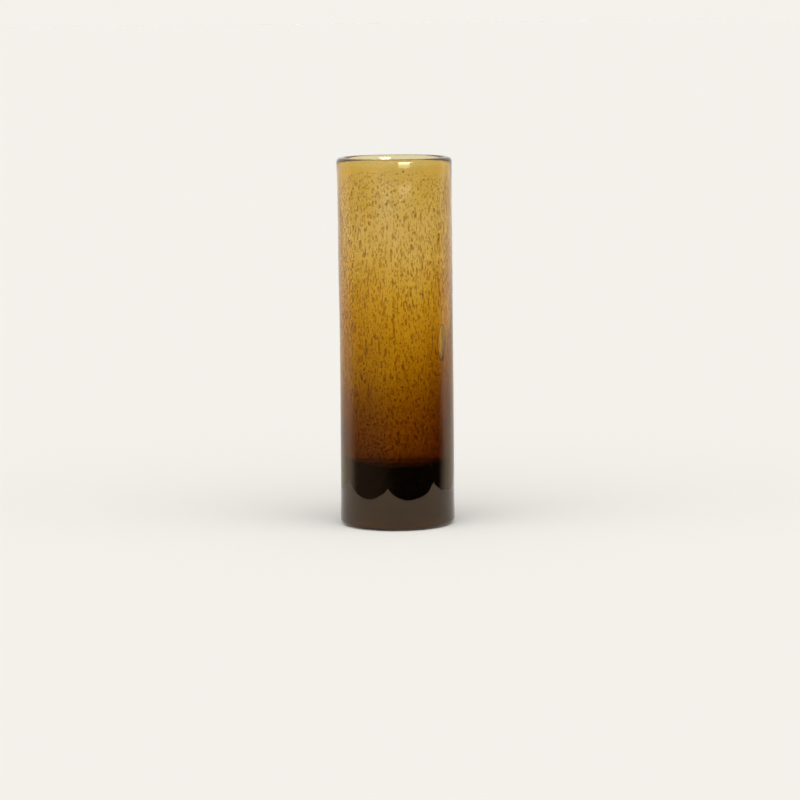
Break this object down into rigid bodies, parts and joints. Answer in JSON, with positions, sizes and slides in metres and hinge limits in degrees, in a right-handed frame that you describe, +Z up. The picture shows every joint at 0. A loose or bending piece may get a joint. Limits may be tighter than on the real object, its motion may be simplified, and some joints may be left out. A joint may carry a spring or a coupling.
{
  "type": "glass bud vase",
  "caption": "Tall cylindrical bud vase of thick hand-blown glass with trapped bubbles, an amber heart that is dark at the solid base and fades upwards, a clear casing and a rounded lip.",
  "frame": {"origin": "centre of the foot, on the resting plane", "axes": "+Z runs up the tube to the lip; -Y is the front, and the long blister lies 55 degrees from it towards +X"},
  "size_m": [0.0756, 0.0756, 0.24],
  "materials": {
    "amber_glass": "polished, deep amber",
    "seeded_glass": "polished, full of small bubbles",
    "clear_glass": "fire-polished"
  },
  "bodies": {
    "root": {"amber_gather": "amber_glass", "seeded_gather": "seeded_glass", "clear_casing": "clear_glass"}
  },
  "joints": []
}
